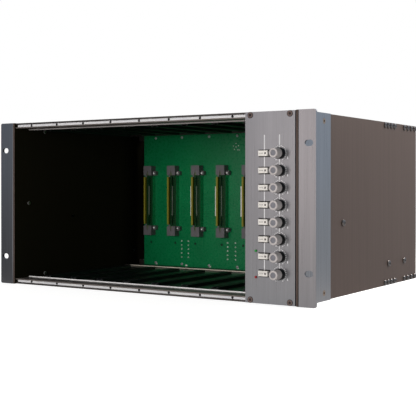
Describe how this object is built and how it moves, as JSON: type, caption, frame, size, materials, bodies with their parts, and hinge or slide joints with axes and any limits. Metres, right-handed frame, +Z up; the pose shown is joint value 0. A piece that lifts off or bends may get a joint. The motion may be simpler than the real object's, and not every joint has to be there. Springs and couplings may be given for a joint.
{
  "type": "subrack card cage",
  "caption": "Rack-mount card cage with side plates, extruded rails, card guides, backplane with edge connectors, and a control module of push buttons and rotary knobs.",
  "frame": {"origin": "centre of the four rack slots, in the plane of the front face of the rack ears", "axes": "+Z up, +X to the right seen from the front, -Y out of the front"},
  "size_m": [0.4826, 0.3945, 0.2214],
  "materials": {
    "side_paint": "fine satin paint, warm brown grey",
    "ear_paint": "satin blue-grey finish with a vertical grain",
    "rail_alloy": "bronze-grey anodised extrusion",
    "strip_zinc": "bright zinc",
    "cover_paint": "black satin paint",
    "guide_nylon": "black moulded nylon",
    "backplane_laminate": "green solder mask over glass laminate",
    "module_laminate": "green solder mask over glass laminate",
    "connector_moulding": "dark grey glass-filled moulding, contacts in channels",
    "panel_paint": "satin grey finish with a vertical grain",
    "switch_moulding": "black moulding",
    "pot_case": "moulded case",
    "nut_cover_plastic": "black moulded plastic",
    "green_lens": "clear tinted lens",
    "red_lens": "clear tinted lens",
    "button_plastic": "white moulded plastic",
    "knob_plastic": "grey satin moulding",
    "knob_cap_plastic": "blue-grey satin moulding",
    "shaft_steel": "turned steel",
    "panel_screw_steel": "dark bronzed steel",
    "ear_screw_steel": "dark bronzed steel",
    "side_screw_steel": "blackened steel",
    "board_screw_steel": "zinc plated steel"
  },
  "bodies": {
    "cage": {"side_plate_left": "side_paint", "side_plate_right": "side_paint", "rack_ear_left": "ear_paint", "rack_ear_right": "ear_paint", "front_rail_top": "rail_alloy", "front_rail_bottom": "rail_alloy", "threaded_strip_top": "strip_zinc", "threaded_strip_bottom": "strip_zinc", "rear_rail_top": "rail_alloy", "rear_rail_bottom": "rail_alloy", "rear_crossbar_top": "rail_alloy", "rear_crossbar_bottom": "rail_alloy", "cover_top": "cover_paint", "cover_bottom": "cover_paint", "card_guides": "guide_nylon", "backplane": "backplane_laminate", "edge_connectors": "connector_moulding", "front_panel": "panel_paint", "module_board": "module_laminate", "push_switches": "switch_moulding", "potentiometers": "pot_case", "pot_nuts": "nut_cover_plastic", "led_green": "green_lens", "led_red": "red_lens", "panel_screws": "panel_screw_steel", "ear_screws": "ear_screw_steel", "side_screws": "side_screw_steel", "board_screws": "board_screw_steel"},
    "channel_1_button": {"button_1": "button_plastic"},
    "channel_1_knob": {"knob_1": "knob_plastic", "knob_cap_1": "knob_cap_plastic", "pot_shaft_1": "shaft_steel"},
    "channel_2_button": {"button_2": "button_plastic"},
    "channel_2_knob": {"knob_2": "knob_plastic", "knob_cap_2": "knob_cap_plastic", "pot_shaft_2": "shaft_steel"},
    "channel_3_button": {"button_3": "button_plastic"},
    "channel_3_knob": {"knob_3": "knob_plastic", "knob_cap_3": "knob_cap_plastic", "pot_shaft_3": "shaft_steel"},
    "channel_4_button": {"button_4": "button_plastic"},
    "channel_4_knob": {"knob_4": "knob_plastic", "knob_cap_4": "knob_cap_plastic", "pot_shaft_4": "shaft_steel"},
    "channel_5_button": {"button_5": "button_plastic"},
    "channel_5_knob": {"knob_5": "knob_plastic", "knob_cap_5": "knob_cap_plastic", "pot_shaft_5": "shaft_steel"},
    "channel_6_button": {"button_6": "button_plastic"},
    "channel_6_knob": {"knob_6": "knob_plastic", "knob_cap_6": "knob_cap_plastic", "pot_shaft_6": "shaft_steel"},
    "channel_7_button": {"button_7": "button_plastic"},
    "channel_7_knob": {"knob_7": "knob_plastic", "knob_cap_7": "knob_cap_plastic", "pot_shaft_7": "shaft_steel"},
    "channel_8_button": {"button_8": "button_plastic"},
    "channel_8_knob": {"knob_8": "knob_plastic", "knob_cap_8": "knob_cap_plastic", "pot_shaft_8": "shaft_steel"}
  },
  "joints": [
    {"name": "button_1_press", "type": "slide", "parent": "cage", "child": "channel_1_button", "axis": [0, 1, 0], "range_m": [0, 0.0025], "stiffness_N_per_m": 500, "springref_m": -0.0004},
    {"name": "button_2_press", "type": "slide", "parent": "cage", "child": "channel_2_button", "axis": [0, 1, 0], "range_m": [0, 0.0025], "stiffness_N_per_m": 500, "springref_m": -0.0004},
    {"name": "button_3_press", "type": "slide", "parent": "cage", "child": "channel_3_button", "axis": [0, 1, 0], "range_m": [0, 0.0025], "stiffness_N_per_m": 500, "springref_m": -0.0004},
    {"name": "button_4_press", "type": "slide", "parent": "cage", "child": "channel_4_button", "axis": [0, 1, 0], "range_m": [0, 0.0025], "stiffness_N_per_m": 500, "springref_m": -0.0004},
    {"name": "button_5_press", "type": "slide", "parent": "cage", "child": "channel_5_button", "axis": [0, 1, 0], "range_m": [0, 0.0025], "stiffness_N_per_m": 500, "springref_m": -0.0004},
    {"name": "button_6_press", "type": "slide", "parent": "cage", "child": "channel_6_button", "axis": [0, 1, 0], "range_m": [0, 0.0025], "stiffness_N_per_m": 500, "springref_m": -0.0004},
    {"name": "button_7_press", "type": "slide", "parent": "cage", "child": "channel_7_button", "axis": [0, 1, 0], "range_m": [0, 0.0025], "stiffness_N_per_m": 500, "springref_m": -0.0004},
    {"name": "button_8_press", "type": "slide", "parent": "cage", "child": "channel_8_button", "axis": [0, 1, 0], "range_m": [0, 0.0025], "stiffness_N_per_m": 500, "springref_m": -0.0004},
    {"name": "knob_1_turn", "type": "hinge", "parent": "cage", "child": "channel_1_knob", "pos_m": [0.1957, 0, 0.0623], "axis": [0, 1, 0], "range_deg": [0, 300]},
    {"name": "knob_2_turn", "type": "hinge", "parent": "cage", "child": "channel_2_knob", "pos_m": [0.1957, 0, 0.04264], "axis": [0, 1, 0], "range_deg": [0, 300]},
    {"name": "knob_3_turn", "type": "hinge", "parent": "cage", "child": "channel_3_knob", "pos_m": [0.1957, 0, 0.02298], "axis": [0, 1, 0], "range_deg": [0, 300]},
    {"name": "knob_4_turn", "type": "hinge", "parent": "cage", "child": "channel_4_knob", "pos_m": [0.1957, 0, 0.00332], "axis": [0, 1, 0], "range_deg": [0, 300]},
    {"name": "knob_5_turn", "type": "hinge", "parent": "cage", "child": "channel_5_knob", "pos_m": [0.1957, 0, -0.01634], "axis": [0, 1, 0], "range_deg": [0, 300]},
    {"name": "knob_6_turn", "type": "hinge", "parent": "cage", "child": "channel_6_knob", "pos_m": [0.1957, 0, -0.036], "axis": [0, 1, 0], "range_deg": [0, 300]},
    {"name": "knob_7_turn", "type": "hinge", "parent": "cage", "child": "channel_7_knob", "pos_m": [0.1957, 0, -0.05566], "axis": [0, 1, 0], "range_deg": [0, 300]},
    {"name": "knob_8_turn", "type": "hinge", "parent": "cage", "child": "channel_8_knob", "pos_m": [0.1957, 0, -0.07532], "axis": [0, 1, 0], "range_deg": [0, 300]}
  ]
}
